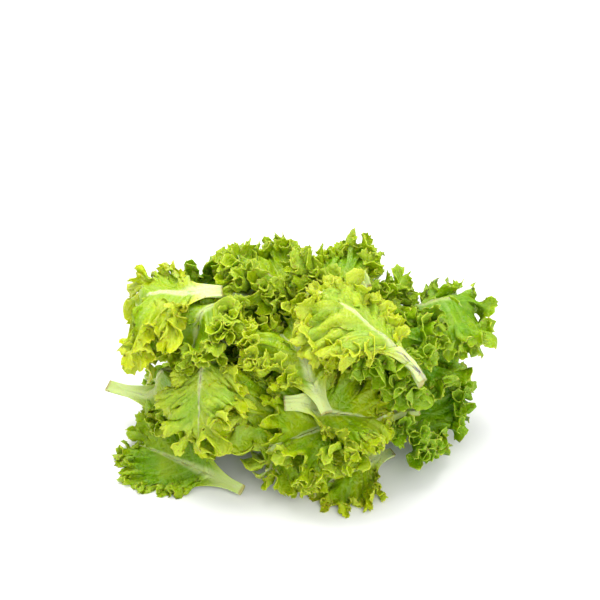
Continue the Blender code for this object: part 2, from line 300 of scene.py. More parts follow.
def slopes(points):
    """How far each point's ray leans along x and y for each step up."""
    rays = points - HEAP_ORIGIN
    return rays[:, :2] / rays[:, 2:]


class Sheet:
    """The net of a leaf's middle surface: its columns of side veins all start on the shared rib."""

    def __init__(self):
        columns, rows = len(column_places()), len(ROWS)
        index = np.empty((columns, rows), int)
        index[:, 0] = np.abs(np.arange(columns) - columns // 2)
        loose = columns // 2 + 1 + np.arange(columns * (rows - 1))
        index[:, 1:] = loose.reshape(columns, rows - 1)
        self.index = index
        self.count = int(index.max()) + 1
        a, b, c, d = index[:-1, :-1], index[1:, :-1], index[1:, 1:], index[:-1, 1:]
        steps = np.add.outer(np.arange(columns - 1) - columns // 2, np.arange(rows - 1))
        even = steps[..., None] % 2 == 0
        first = np.where(even, np.stack([a, b, c], -1), np.stack([a, b, d], -1))
        second = np.where(even, np.stack([a, c, d], -1), np.stack([b, c, d], -1))
        upper = np.concatenate([first.reshape(-1, 3), second.reshape(-1, 3)])
        near = np.concatenate([index[:, -1], index[-1, -2::-1], index[0, 1:-1]])
        far = np.roll(near, -1)
        n = self.count
        rim = [np.stack([near, far, far + n], -1), np.stack([near, far + n, near + n], -1)]
        self.upper = upper
        self.faces = np.concatenate([upper, upper[:, ::-1] + n, *rim])
        self.pairs = self.edges(upper)
        self.neighbours = np.bincount(self.pairs.ravel(), minlength=n)
        self.probes = self.probe_corners()

    @staticmethod
    def edges(faces):
        ends = np.concatenate([faces[:, [0, 1]], faces[:, [1, 2]], faces[:, [2, 0]]])
        return np.unique(np.sort(ends, axis=1), axis=0)

    def probe_corners(self):
        """Six corners each for the places that must stay clear, which lie at their mean."""
        corners = np.arange(2 * self.count)[:, None]
        edges = self.edges(self.faces)
        return np.concatenate(
            [
                corners[:, [0, 0, 0, 0, 0, 0]],
                edges[:, [0, 0, 0, 0, 0, 1]],
                edges[:, [0, 0, 0, 0, 1, 1]],
                edges[:, [0, 0, 0, 1, 1, 1]],
                edges[:, [0, 0, 1, 1, 1, 1]],
                edges[:, [0, 1, 1, 1, 1, 1]],
                self.faces[:, [0, 0, 1, 1, 2, 2]],
            ]
        )

    def flatten(self, grid):
        points = np.empty((self.count, grid.shape[-1]))
        points[self.index] = grid
        return points

    def shell(self, points, depth):
        """The corners of the closed leaf: its upper side, then its under side, none under the table."""
        corners = points[self.upper]
        face = np.cross(corners[:, 1] - corners[:, 0], corners[:, 2] - corners[:, 0])
        normal = np.zeros_like(points)
        for k in range(3):
            np.add.at(normal, self.upper[:, k], face)
        normal = unit(normal)
        over = points + normal * CAD_THICKNESS / 2
        under = points - normal * depth[:, None]
        over[:, 2] = np.maximum(over[:, 2], CAD_THICKNESS * (normal[:, 2] > 0))
        under[:, 2] = np.maximum(under[:, 2], CAD_THICKNESS * (normal[:, 2] < 0))
        return np.concatenate([over, under])

    def spread(self, need):
        """A smooth push over the sheet that is nowhere less than what each point needs."""
        push = need.copy()
        for _ in range(SPREAD_STEPS):
            total = np.zeros(self.count)
            np.add.at(total, self.pairs[:, 0], push[self.pairs[:, 1]])
            np.add.at(total, self.pairs[:, 1], push[self.pairs[:, 0]])
            push = np.maximum(need, (push + total / self.neighbours) / 2)
        return push


class Heap:
    """The leaves laid so far, as one surface for the next leaf to settle on."""

    def __init__(self, sheet):
        self.sheet = sheet
        self.shells = []

    def add(self, shell):
        self.shells.append(shell)
        corners = np.concatenate(self.shells)
        firsts = np.arange(len(self.shells)) * len(shell)
        faces = (self.sheet.faces[None] + firsts[:, None, None]).reshape(-1, 3)
        self.surface = BVHTree.FromPolygons(corners.tolist(), faces.tolist())
        self.places = np.concatenate([s[self.sheet.probes].mean(axis=1) for s in self.shells])

    def need(self, shell):
        """How far each point of a leaf has to move outwards to clear the heap."""
        need = np.zeros(self.sheet.count)
        if not self.shells:
            return need
        places = shell[self.sheet.probes].mean(axis=1)
        rays = outward(places)
        starts = places + rays * REACH
        for start, ray, owners in zip(starts, rays, self.sheet.probes % self.sheet.count):
            distance = self.surface.ray_cast(Vector(start), Vector(-ray), 2 * REACH)[3]
            if distance is not None:
                need[owners] = np.maximum(need[owners], REACH - distance + GAP)
        lean, own_lean = slopes(self.places), slopes(shell)
        inside = (lean > own_lean.min(axis=0)) & (lean < own_lean.max(axis=0))
        places = self.places[inside.all(axis=1)]
        rays = outward(places)
        leaf = BVHTree.FromPolygons(shell.tolist(), self.sheet.faces.tolist())
        for start, ray in zip(places - rays * REACH, rays):
            _, _, face, distance = leaf.ray_cast(Vector(start), Vector(ray), 2 * REACH)
            if distance is not None:
                owners = self.sheet.faces[face] % self.sheet.count
                need[owners] = np.maximum(need[owners], REACH - distance + GAP)
        return need

    def lay(self, leaf):
        """Bends a leaf outwards until it clears everything under it, and gives its middle surface."""
        rib = rib_curve(leaf)
        places = column_places()
        flat = flat_leaf(leaf, rib[-1][-1], places)
        points = self.sheet.flatten(placed(leaf, ruffled(leaf, flat, places), rib))
        relief = rib_relief(flat, rib[-1][-1]) + CAD_THICKNESS / 2
        depth = self.sheet.flatten(relief[..., None])[:, 0]
        lowest = depth - TABLE_PRESS
        above = (points[:, 2] - lowest) / TABLE_SOFTNESS
        points[:, 2] = lowest + TABLE_SOFTNESS * np.logaddexp(0, above)
        for _ in range(SETTLE_ROUNDS):
            need = self.need(self.sheet.shell(points, depth))
            if need.max() < SETTLED:
                break
            points = points + outward(points) * self.sheet.spread(need)[:, None]
        shell = self.sheet.shell(points, depth)
        self.add(shell)
        shift = np.array(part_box(leaf.name)[0]) - shell.min(axis=0)
        return (points + shift)[self.sheet.index]


# The blade's growth: its edge grows far longer than its middle, so it is thrown into frills. Each
# leaf's net is drawn towards the lengths that it has grown to, first over a wide border and then along
# the very edge, while it keeps near the CAD leaf and clear of the leaves round it.
class Growth(NamedTuple):
    """One stage of growth."""

    at_edge: float  # times the leaf's first length
    depth: float  # how deep it goes, in millimetres inside the edge
    buckle: float  # spacing of the first buckles, in millimetres
    rounds: int
    stiffness: int  # columns over which the leaf stays round


GROWTHS = (
    Growth(1.5, depth=46, buckle=24, rounds=45, stiffness=8),
    Growth(2.2, depth=34, buckle=11, rounds=80, stiffness=5),
    Growth(1.8, depth=11, buckle=5, rounds=80, stiffness=3),
)
GROWTH_FALL = 1.3
GROWTH_END = BLADE_END + 0.2
GROWTH_FADE = 0.9
COLUMN_STEPS = 16
STALK_STEPS = 8
FINE_ROWS = 23
ROW_CROWDING = 1.5
FRILL_DEPTH = 46.0
FRILL_REACH = 12.0 * MM
STILL_ROWS = 0.3
BUCKLE_HEIGHT = 0.16
TURNED_OUT = 0.5
SEEDS_PER_LEAF = 11
DIMPLE_WAVES = 9
DIMPLE_RATES = (0.7, 1.3)
PULL = 0.4
ROUNDNESS = 0.62
ROW_SPREAD = 0.9
SHARE_OF_ROOM = 0.6
LEAST_ROOM = 0.6 * MM
MOST_ROOM = 11.0 * MM
LEAF_THICKNESS = 0.55 * MM
TABLE_CLEARANCE = 0.6 * MM


def hermite(knots, values, places):
    """Smooth values between the knots, along the first axis."""
    slope = np.gradient(values, knots, axis=0)
    start = np.clip(np.searchsorted(knots, places, side="right") - 1, 0, len(knots) - 2)
    shape = (-1,) + (1,) * (values.ndim - 1)
    step = (knots[start + 1] - knots[start]).reshape(shape)
    t = (places - knots[start]).reshape(shape) / step
    return (
        (1 + 2 * t) * (1 - t) ** 2 * values[start]
        + t * (1 - t) ** 2 * step * slope[start]
        + t**2 * (3 - 2 * t) * values[start + 1]
        + t**2 * (t - 1) * step * slope[start + 1]
    )


def dimples(seed, flat, size):
    """Rises and hollows of one size in no order over a flat leaf, from -1 to 1."""
    rng = np.random.default_rng(seed)
    turns = rng.uniform(0, 2 * math.pi, DIMPLE_WAVES)
    rate = 2 * math.pi / size * rng.uniform(*DIMPLE_RATES, DIMPLE_WAVES)
    waves = np.stack([rate * np.cos(turns), rate * np.sin(turns)])
    start = rng.uniform(0, 2 * math.pi, DIMPLE_WAVES)
    total = np.sin(flat[..., :2] @ waves + start).sum(axis=-1)
    return np.clip(total / math.sqrt(DIMPLE_WAVES), -1, 1)


def length_of(steps):
    """Lengths of vectors, never quite nothing."""
    return np.maximum(np.linalg.norm(steps, axis=-1), TINY)


def grid_normals(grid):
    normal = np.cross(np.gradient(grid, axis=1), np.gradient(grid, axis=0))
    return normal / length_of(normal)[..., None]


def others_surface(name):
    """The surface of every CAD leaf but one."""
    corners, faces = [], []
    for other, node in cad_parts.items():
        if other != name:
            node.data.calc_loop_triangles()
            first = len(corners)
            corners += [v.co for v in node.data.vertices]
            faces += [[first + k for k in t.vertices] for t in node.data.loop_triangles]
    return BVHTree.FromPolygons(corners, faces)


def free_room(name, grid, normal):
    """How far the leaf may swell along its normal and against it, for every column and row."""
    surface = others_surface(name)
    some = np.unique(np.append(np.arange(0, len(grid), COLUMN_STEPS // 2), len(grid) - 1))
    columns = np.arange(len(grid))
    rooms = []
    for sign in (1, -1):
        room = np.full((len(some), grid.shape[1]), MOST_ROOM)
        for i, column in enumerate(some):
            for row in range(grid.shape[1]):
                way = Vector(normal[column, row] * sign)
                distance = surface.ray_cast(Vector(grid[column, row]), way, MOST_ROOM / SHARE_OF_ROOM)[3]
                if distance is not None:
                    room[i, row] = max(distance * SHARE_OF_ROOM - LEAF_THICKNESS, LEAST_ROOM)
        rooms.append(np.stack([np.interp(columns, some, r) for r in room.T], axis=1))
    return rooms


def draw(grid, along, rest, only_apart=False):
    """Draws points some columns and rows apart towards their rest distance from each other."""
    near = grid[: len(grid) - along[0], : grid.shape[1] - along[1]]
    far = grid[along[0]:, along[1]:]
    apart = far - near
    share = 1 - rest / length_of(apart)
    if only_apart:
        share = np.minimum(share, 0)
    move = apart * (PULL / 2 * share)[..., None]
    near += move
    far -= move


def swollen(grid, base, grown_by, stage, normal, over, under, reach):
    """A net drawn towards the lengths it has grown to, kept within its room and reach of the base."""
    across = length_of(np.diff(base, axis=0)) * (grown_by[1:] + grown_by[:-1]) / 2
    outwards = length_of(np.diff(base, axis=1))
    span = len(across) - stage.stiffness + 1
    bend = ROUNDNESS * sum(across[n: span + n] for n in range(stage.stiffness))
    two_rows = ROW_SPREAD * (outwards[:, 1:] + outwards[:, :-1])
    for _ in range(stage.rounds):
        draw(grid, (1, 0), across)
        draw(grid, (0, 1), outwards)
        draw(grid, (stage.stiffness, 0), bend, only_apart=True)
        draw(grid, (0, 2), two_rows, only_apart=True)
        off = grid - base
        rise = (off * normal).sum(axis=2)
        off += normal * (np.clip(rise, -under, over) - rise)[..., None]
        off *= np.minimum(1, reach / length_of(off))[..., None]
        grid = base + off
        grid[..., 2] = np.maximum(grid[..., 2], TABLE_CLEARANCE)
    grid[1:-1] = (grid[:-2] + 2 * grid[1:-1] + grid[2:]) / 4
    return grid


class Blade(NamedTuple):
    """A leaf's fine net. Its arrays hold a value for every column and row."""

    columns: np.ndarray  # the columns' places round the leaf
    base: np.ndarray  # the smooth surface of the CAD leaf
    grid: np.ndarray  # the grown surface
    flat: np.ndarray
    inside: np.ndarray  # millimetres from the edge
    fade: np.ndarray  # 1 on the blade, 0 on the stalk
    normal: np.ndarray
    over: np.ndarray
    under: np.ndarray


def grown_blade(leaf, net):
    """A leaf's fine net, grown from the net of its CAD leaf."""
    places = column_places()
    steps = np.where(np.abs(places[:-1] + places[1:]) / 2 < BLADE_END, COLUMN_STEPS, STALK_STEPS)
    fine = [np.linspace(a, b, n, endpoint=False) for a, b, n in zip(places, places[1:], steps)]
    fine = np.concatenate(fine + [places[-1:]])
    rows = 1 - (1 - np.linspace(0, 1, FINE_ROWS + 1)) ** ROW_CROWDING
    base = hermite(places, net, fine)
    base = hermite(ROWS, base.transpose(1, 0, 2), rows).transpose(1, 0, 2)
    flat = flat_leaf(leaf, rib_curve(leaf)[-1][-1], fine, rows)
    inside = (1 - rows) * length_of(flat[:, -1] - flat[:, 0])[:, None] / MM
    fade = smoothstep((GROWTH_END - np.abs(fine)) / GROWTH_FADE)[:, None] * np.ones_like(inside)
    normal = grid_normals(base)
    over, under = free_room(leaf.name, base, normal)
    reach = FRILL_REACH * smoothstep(1 - inside / FRILL_DEPTH) * smoothstep(rows / STILL_ROWS) * fade
    turned = TURNED_OUT * (over - under) / (over + under)
    grid = base.copy()
    grown_by = np.ones_like(inside)
    for k, stage in enumerate(GROWTHS):
        rises = dimples(leaf.seed * SEEDS_PER_LEAF + k, flat / MM, stage.buckle)
        swell = rises * np.exp(-inside / stage.depth)
        height = stage.buckle * MM * BUCKLE_HEIGHT * (swell + turned) * fade
        grid += grid_normals(grid) * height[..., None]
        falls = np.exp(-((inside / stage.depth) ** GROWTH_FALL))
        grown_by *= 1 + (stage.at_edge - 1) * falls * fade
        grid = swollen(grid, base, grown_by, stage, normal, over, under, reach)
    return Blade(fine, base, grid, flat, inside, fade, normal, over, under)


# The leaf's skin: the blade between the side veins is puffed up, its edge is cut into small teeth, and
# the net is finest where it is frilled. It holds what the tissue needs to know of each point.
PUFF = 0.8 * MM
PUFF_WIDTH = 2.2
PUFF_INSIDE = 6.0
VEIN_SPACING = 0.42
TOOTH = 1.1 * MM
TOOTH_DEPTH = 3.5
TOOTH_COLUMNS = 3
TOOTH_SIZES = (0.2, 1.5)
BETWEEN_TEETH = -0.4
BANDS = (0.22, 0.48, 0.75, 0.96)


class Patch(NamedTuple):
    """Part of a leaf's skin."""

    corners: np.ndarray
    faces: list
    facts: dict  # what the tissue reads at each corner
    relief: np.ndarray  # how much the rib adds to the thickness at each corner


def banded_faces(columns, rows):
    """Which corners a sheet keeps, and its faces: its columns halve at each band towards the rib."""
    index = np.full((columns, rows), -1)
    faces = []
    steps = 2 ** (len(BANDS) - np.searchsorted(BANDS, np.arange(rows) / (rows - 1)))
    for row in range(rows):
        index[:: steps[row], row] = 1
    used = index > 0
    index[used] = np.arange(used.sum())
    for row in range(rows - 1):
        coarse, fine = steps[row], steps[row + 1]
        here, there = index[::coarse, row], index[::fine, row + 1]
        if coarse == fine:
            faces += np.stack([here[:-1], here[1:], there[1:], there[:-1]], -1).tolist()
        else:
            left, middle, right = there[:-2:2], there[1::2], there[2::2]
            faces += np.stack([here[:-1], middle, left], -1).tolist()
            faces += np.stack([here[:-1], here[1:], middle], -1).tolist()
            faces += np.stack([here[1:], right, middle], -1).tolist()
    return used, faces


def halved(values):
    """A net's values with a new column between each two."""
    whole = np.arange(len(values))
    return hermite(whole, values, np.arange(0, len(values) - 0.5, 0.5))


def cut_teeth(grid, inside, size, seed):
    """Cuts small uneven teeth into the last row, which the rows next to it follow."""
    out = grid[:, -1] - grid[:, -2]
    out /= length_of(out)[:, None]
    tooth = np.where(np.arange(len(grid)) % TOOTH_COLUMNS == 0, 1.0, BETWEEN_TEETH)
    tooth *= size * np.random.default_rng(seed).uniform(*TOOTH_SIZES, len(grid))
    grid += out[:, None] * (tooth[:, None] * smoothstep(1 - inside / TOOTH_DEPTH))[..., None]
    grid[..., 2] = np.maximum(grid[..., 2], TABLE_CLEARANCE)


def blade_skin(leaf, blade):
    """The skin of the whole leaf, puffed up between its veins and toothed."""
    grid, flat, inside, fade = (halved(v) for v in (blade.grid, blade.flat, blade.inside, blade.fade))
    fine = halved(blade.columns)
    spacing = length_of(np.gradient(flat, axis=0)) / (MM * np.gradient(fine)[:, None])
    from_vein = np.abs((fine / VEIN_SPACING + 0.5) % 1 - 0.5)[:, None] * VEIN_SPACING * spacing
    puff = (1 - np.exp(-((from_vein / PUFF_WIDTH) ** 2))) * smoothstep(inside / PUFF_INSIDE) * fade
    grid = grid + grid_normals(grid) * (PUFF * puff)[..., None]
    cut_teeth(grid, inside, TOOTH * fade[:, 0], leaf.seed)
    length = rib_curve(leaf)[-1][-1]
    used, faces = banded_faces(*grid.shape[:2])
    facts = {
        "place": (fine[:, None] * np.ones_like(inside))[used],
        "spacing": spacing[used],
        "inside": inside[used],
        "from_rib": np.abs(flat[..., 0])[used] / MM,
        "up": flat[..., 1][used] / length,
    }
    return Patch(grid[used], faces, facts, rib_relief(flat, length)[used])


# The folded border: on the most frilled leaves the blade has folded over behind its edge, and the fold
# stands up as a second frill. It grows as the blade does, from a foot line on the blade.
BORDER_INSIDE = 11.0
BORDER_GROWTH = Growth(3.1, depth=10, buckle=6.5, rounds=90, stiffness=4)
BORDER_ROWS = 4
BORDER_REACH = 7.0 * MM
BORDER_MEAN = 0.75
BORDER_SPREAD = 0.25
BORDER_RANGE = (0.4, 1.1)
LEAST_BORDER = 2.0 * MM
BORDER_UP = 0.8
BORDER_OUT = 0.6
BORDER_SWELL = 0.2
TURN_DRIFT = 2.5
DRIFT_BUCKLES = 4
DRIFT_WAVES = 8
DRIFT_RATES = (0.4, 1.6)
DRIFT_PEAK = 3
TURN_SEED = 77
WIDTH_SEED = 78
TOOTH_SEED = 79
TOOTH_SHARE = 0.15
EDGE_ROWS = 3


def drift(seed, reached):
    """Smooth seeded noise along the edge, about -1 to 1, over a few buckles."""
    rng = np.random.default_rng(seed)
    scale = DRIFT_BUCKLES * BORDER_GROWTH.buckle
    total = np.zeros_like(reached)
    for _ in range(DRIFT_WAVES):
        wave = 2 * math.pi * rng.uniform(*DRIFT_RATES) / scale
        total += np.sin(wave * reached + rng.uniform(0, 2 * math.pi))
    return total / DRIFT_PEAK


def foot_line(values, inside):
    """The values of each column where the fold starts."""
    line = np.empty((len(values), values.shape[2]))
    for column, depths in enumerate(inside):
        for axis in range(values.shape[2]):
            line[column, axis] = np.interp(-BORDER_INSIDE, -depths, values[column, :, axis])
    return line


def folded_border(leaf, blade):
    """The fold's own skin, on the side of the blade that has more room."""
    turned_over = blade.over.mean() > blade.under.mean()
    room = blade.over if turned_over else blade.under
    up = foot_line(blade.normal, blade.inside) * (1 if turned_over else -1)
    out = blade.base[:, -1] - blade.base[:, -1 - EDGE_ROWS]
    out /= length_of(out)[:, None]
    reached = np.cumsum(length_of(np.gradient(blade.base[:, -1], axis=0))) / MM
    share = BORDER_MEAN + BORDER_SPREAD * drift(leaf.seed + WIDTH_SEED, reached)
    width = BORDER_GROWTH.depth * MM * np.clip(share, *BORDER_RANGE)
    width = np.minimum(foot_line(room[..., None], blade.inside)[:, 0], width) * blade.fade[:, 0]
    outwards = np.linspace(0, 1, BORDER_ROWS + 1)
    stride = (BORDER_UP * up + BORDER_OUT * out)[:, None] * (width[:, None] * outwards)[..., None]
    base = foot_line(blade.grid, blade.inside)[:, None] + stride
    ones = np.ones(base.shape[:2])
    turn = 2 * math.pi * reached / BORDER_GROWTH.buckle
    turn = turn + TURN_DRIFT * drift(leaf.seed + TURN_SEED, reached)
    swell = BORDER_SWELL * BORDER_GROWTH.buckle * MM * np.sin(turn)[:, None] * outwards
    normal = grid_normals(base)
    reach = BORDER_REACH * outwards * ones
    grown_by = 1 + (BORDER_GROWTH.at_edge - 1) * outwards * ones
    grid = base + normal * swell[..., None]
    grid = halved(swollen(grid, base, grown_by, BORDER_GROWTH, normal, reach, reach, reach))
    width, reached, columns, flat = (halved(v) for v in (width, reached, blade.columns, blade.flat))
    ones = np.ones(grid.shape[:2])
    inside = (1 - outwards) * width[:, None] / MM
    cut_teeth(grid, inside, np.minimum(TOOTH, TOOTH_SHARE * width), leaf.seed + TOOTH_SEED)

    wide = width > LEAST_BORDER
    index = np.arange(ones.size).reshape(ones.shape)
    faces = np.stack([index[:-1, :-1], index[1:, :-1], index[1:, 1:], index[:-1, 1:]], -1)
    facts = {
        "place": columns[:, None] * ones,
        "spacing": (np.gradient(reached) / np.gradient(columns))[:, None] * ones,
        "inside": inside,
        "from_rib": np.abs(flat[:, -1:, 0]) / MM * ones,
        "up": flat[:, -1:, 1] / rib_curve(leaf)[-1][-1] * ones,
    }
    facts = {name: values.ravel() for name, values in facts.items()}
    faces = faces[wide[1:] & wide[:-1]].reshape(-1, 4).tolist()
    return Patch(grid.reshape(-1, 3), faces, facts, np.zeros(ones.size))


# The leaf tissue: a thin waxy skin over green flesh that lets light through. It is deep green in the
# middle of the blade and lighter towards its edge, partly its own paler edge and partly painted shade
# that darkens the blade deeper inside; lime where it is young, whitish along the veins and the stalk,
# and yellow in a fine line along the teeth, with a few brown specks where it has dried.
class Fade(NamedTuple):
    """A smooth fade: the values that it runs between, and its strength at each."""

    begins: float
    ends: float
    first: float = 0.0
    last: float = 1.0


# Scales are in waves to a metre, widths and depths inside the edge in millimetres, and heights up the
# leaf in shares of its length.
PATCH_SCALE = 45
PATCHES = Fade(0.38, 0.62, 0.0, 0.55)
# Painted shade, partly the edge's own paler colour: the blade is lighter within 15 mm of its edge and
# darker deeper inside, where the frills shade it.
LIME_EDGE_AND_PAINTED_SHADE = Fade(1.0, 15.0, 0.75, 0.0)
UNDERSIDE_PALENESS = 0.08
WOBBLE_SCALE = 140
WOBBLE = 0.10
MAIN_VEIN_WIDTH = 1.5
MAIN_VEIN_STARTS = Fade(1.0, 9.0)
SIDE_VEIN_WIDTH = 0.9
SIDE_VEIN_STARTS = Fade(0.5, 6.0)
SIDE_VEIN_STRENGTH = 0.75
VEIN_CORE = 0.35
VEIN_PALENESS = 0.12
VEIN_HEIGHT = 0.4
NET_SCALE = 260
NET_LINES = Fade(0.02, 0.10, 1.0, 0.0)
NET_STRENGTH = 0.22
BLISTERS = Fade(0.0, 0.35)
RIB_TAPER = 2.0
RIB_FOOT_WIDTH = 7.5
RIB_TIP_WIDTH = 0.7
RIB_EDGE = Fade(0.3, 1.25, 1.0, 0.0)
STALK = Fade(0.12, 0.32, 1.0, 0.0)
RIM_LINE = Fade(0.1, 0.7, 0.9, 0.0)
RIM_SCALE = 220
RIM_BREAKS = Fade(0.4, 0.65, 0.1, 0.6)
DRIED = (0.330, 0.190, 0.045)
SPECK_SCALE = 420
SPECKS = Fade(0.68, 0.74)
SPECK_BORDER = Fade(2.0, 7.0, 0.7, 0.0)
CUT_END = Fade(0.004, 0.018, 0.55, 0.0)
GRAIN_SCALE = 700
GRAIN_HEIGHT = 0.5


def tissue_group():
    group = bpy.data.node_groups.new("leaf tissue", "ShaderNodeTree")
    for name in ("Blade", "Light Blade", "Vein", "Rim"):
        group.interface.new_socket(name, in_out="INPUT", socket_type="NodeSocketColor")
    group.interface.new_socket("Tissue", in_out="OUTPUT", socket_type="NodeSocketColor")
    group.interface.new_socket("Relief", in_out="OUTPUT", socket_type="NodeSocketFloat")
    nodes, link = group.nodes, group.links.new
    given = nodes.new("NodeGroupInput")
    made = nodes.new("NodeGroupOutput")

    def fact(name):
        node = nodes.new("ShaderNodeAttribute")
        node.attribute_name = name
        return node.outputs["Fac"]

    def math_node(operation, a, b=0.0):
        node = nodes.new("ShaderNodeMath")
        node.operation = operation
        for socket, value in zip(node.inputs, (a, b)):
            if isinstance(value, (int, float)):
                socket.default_value = value
            else:
                link(value, socket)
        return node.outputs[0]

    def faded(value, fade):
        node = nodes.new("ShaderNodeMapRange")
        node.interpolation_type = "SMOOTHSTEP"
        link(value, node.inputs["Value"])
        for name, number in zip(("From Min", "From Max", "To Min", "To Max"), fade):
            node.inputs[name].default_value = number
        return node.outputs["Result"]

    def mix(share, a, b):
        node = nodes.new("ShaderNodeMix")
        node.data_type = "RGBA"
        link(share, node.inputs["Factor"])
        for name, value in (("A", a), ("B", b)):
            socket = [s for s in node.inputs if s.name == name and s.type == "RGBA"][0]
            if isinstance(value, tuple):
                socket.default_value = (*value, 1)
            else:
                link(value, socket)
        return [s for s in node.outputs if s.type == "RGBA"][0]

    def noise(scale, detail):
        node = nodes.new("ShaderNodeTexNoise")
        node.inputs["Scale"].default_value = scale
        node.inputs["Detail"].default_value = detail
        link(where, node.inputs["Vector"])
        return node.outputs["Fac"]

    where = nodes.new("ShaderNodeTexCoord").outputs["Object"]
    patches = faded(noise(PATCH_SCALE, detail=3), PATCHES)
    # Painted shade together with the edge's own paler colour: lighter along the edge, darker further
    # inside.
    border = faded(fact("inside"), LIME_EDGE_AND_PAINTED_SHADE)
    light = math_node("MAXIMUM", patches, border)
    colour = mix(light, given.outputs["Blade"], given.outputs["Light Blade"])
    paler = math_node("MULTIPLY", fact("under"), UNDERSIDE_PALENESS)
    colour = mix(paler, colour, given.outputs["Vein"])
    wobble = math_node("MULTIPLY", math_node("SUBTRACT", noise(WOBBLE_SCALE, detail=2), 0.5), WOBBLE)
    place = math_node("ADD", fact("place"), wobble)
    inside, from_rib, up, spacing = fact("inside"), fact("from_rib"), fact("up"), fact("spacing")

    def vein_lines(every, width, starts):
        turn = math_node("FRACT", math_node("ADD", math_node("DIVIDE", place, every), 0.5))
        away = math_node("MULTIPLY", math_node("ABSOLUTE", math_node("SUBTRACT", turn, 0.5)), every)
        line = faded(math_node("MULTIPLY", away, spacing), Fade(width * VEIN_CORE, width, 1.0, 0.0))
        return math_node("MULTIPLY", line, faded(inside, starts))

    main_veins = vein_lines(VEIN_SPACING * 2, MAIN_VEIN_WIDTH, MAIN_VEIN_STARTS)
    side_veins = vein_lines(VEIN_SPACING, SIDE_VEIN_WIDTH, SIDE_VEIN_STARTS)
    net = nodes.new("ShaderNodeTexVoronoi")
    net.feature = "DISTANCE_TO_EDGE"
    net.inputs["Scale"].default_value = NET_SCALE
    link(where, net.inputs["Vector"])
    net_veins = faded(net.outputs["Distance"], NET_LINES)
    blister = faded(net.outputs["Distance"], BLISTERS)
    veins = math_node("MAXIMUM", main_veins, math_node("MULTIPLY", side_veins, SIDE_VEIN_STRENGTH))
    veins = math_node("MAXIMUM", veins, math_node("MULTIPLY", net_veins, NET_STRENGTH))
    colour = mix(math_node("MULTIPLY", veins, VEIN_PALENESS), colour, given.outputs["Vein"])
    rib_width = math_node("POWER", math_node("SUBTRACT", 1.0, up), RIB_TAPER)
    rib_width = math_node("ADD", math_node("MULTIPLY", rib_width, RIB_FOOT_WIDTH), RIB_TIP_WIDTH)
    rib = faded(math_node("DIVIDE", from_rib, rib_width), RIB_EDGE)
    stalk = faded(up, STALK)
    colour = mix(math_node("MAXIMUM", rib, stalk), colour, given.outputs["Vein"])
    rim = math_node("MULTIPLY", faded(inside, RIM_LINE), math_node("SUBTRACT", 1.0, stalk))
    rim = math_node("MULTIPLY", rim, faded(noise(RIM_SCALE, detail=1), RIM_BREAKS))
    colour = mix(rim, colour, given.outputs["Rim"])
    specks = faded(noise(SPECK_SCALE, detail=1), SPECKS)
    specks = math_node("MULTIPLY", specks, faded(inside, SPECK_BORDER))
    colour = mix(math_node("MAXIMUM", specks, faded(up, CUT_END)), colour, DRIED)
    link(colour, made.inputs["Tissue"])
    grain = math_node("MULTIPLY", noise(GRAIN_SCALE, detail=2), GRAIN_HEIGHT)
    relief = math_node("SUBTRACT", grain, math_node("MULTIPLY", veins, VEIN_HEIGHT))
    relief = math_node("ADD", relief, math_node("MULTIPLY", blister, math_node("SUBTRACT", 1.0, stalk)))
    link(relief, made.inputs["Relief"])
    return group


TISSUE = tissue_group()
GREEN_BLADE = np.array((0.100, 0.275, 0.0005))
LIME_BLADE = np.array((0.275, 0.430, 0.001))
# LIGHTER tints the blade's random light patches and its edge band, whose darker inside is partly painted
# shade.
LIGHTER = np.array((2.0, 1.35, 5.0))
GREEN_VEIN = np.array((0.40, 0.53, 0.12))
LIME_VEIN = np.array((0.62, 0.70, 0.32))
RIM = (0.62, 0.62, 0.08)
RELIEF_STRENGTH = 0.6
RELIEF_HEIGHT = 0.6 * MM
WAX_ROUGHNESS = 0.34
WAX_SHINE = 0.22
FLESH_LIGHT_SHARE = 1.0
FLESH_LIGHT_RADIUS = (0.7, 1.0, 0.15)
FLESH_LIGHT_DEPTH = 0.9 * MM


def leaf_material(leaf):
    material = bpy.data.materials.new(leaf.name)
    material.use_nodes = True
    nodes, link = material.node_tree.nodes, material.node_tree.links.new
    shader = nodes["Principled BSDF"]
    tissue = nodes.new("ShaderNodeGroup")
    tissue.node_tree = TISSUE
    blade = GREEN_BLADE + leaf.pale * (LIME_BLADE - GREEN_BLADE)
    vein = GREEN_VEIN + leaf.pale * (LIME_VEIN - GREEN_VEIN)
    tissue.inputs["Blade"].default_value = (*blade, 1)
    tissue.inputs["Light Blade"].default_value = (*np.minimum(blade * LIGHTER, 1), 1)
    tissue.inputs["Vein"].default_value = (*vein, 1)
    tissue.inputs["Rim"].default_value = (*RIM, 1)
    link(tissue.outputs["Tissue"], shader.inputs["Base Color"])
    bump = nodes.new("ShaderNodeBump")
    bump.inputs["Strength"].default_value = RELIEF_STRENGTH
    bump.inputs["Distance"].default_value = RELIEF_HEIGHT
    link(tissue.outputs["Relief"], bump.inputs["Height"])
    link(bump.outputs["Normal"], shader.inputs["Normal"])
    shader.inputs["Roughness"].default_value = WAX_ROUGHNESS
    shader.inputs["Specular IOR Level"].default_value = WAX_SHINE
    shader.inputs["Subsurface Weight"].default_value = FLESH_LIGHT_SHARE
    shader.inputs["Subsurface Radius"].default_value = FLESH_LIGHT_RADIUS
    shader.inputs["Subsurface Scale"].default_value = FLESH_LIGHT_DEPTH
    return material


# One finished leaf: its skin is laid over the CAD leaf, thickened downwards into flesh with the rib
# standing out beneath, and put in the CAD leaf's place.
RIB_LEVELS = 24
DOUBLES_APART = 0.0001 * MM
heap = Heap(Sheet())


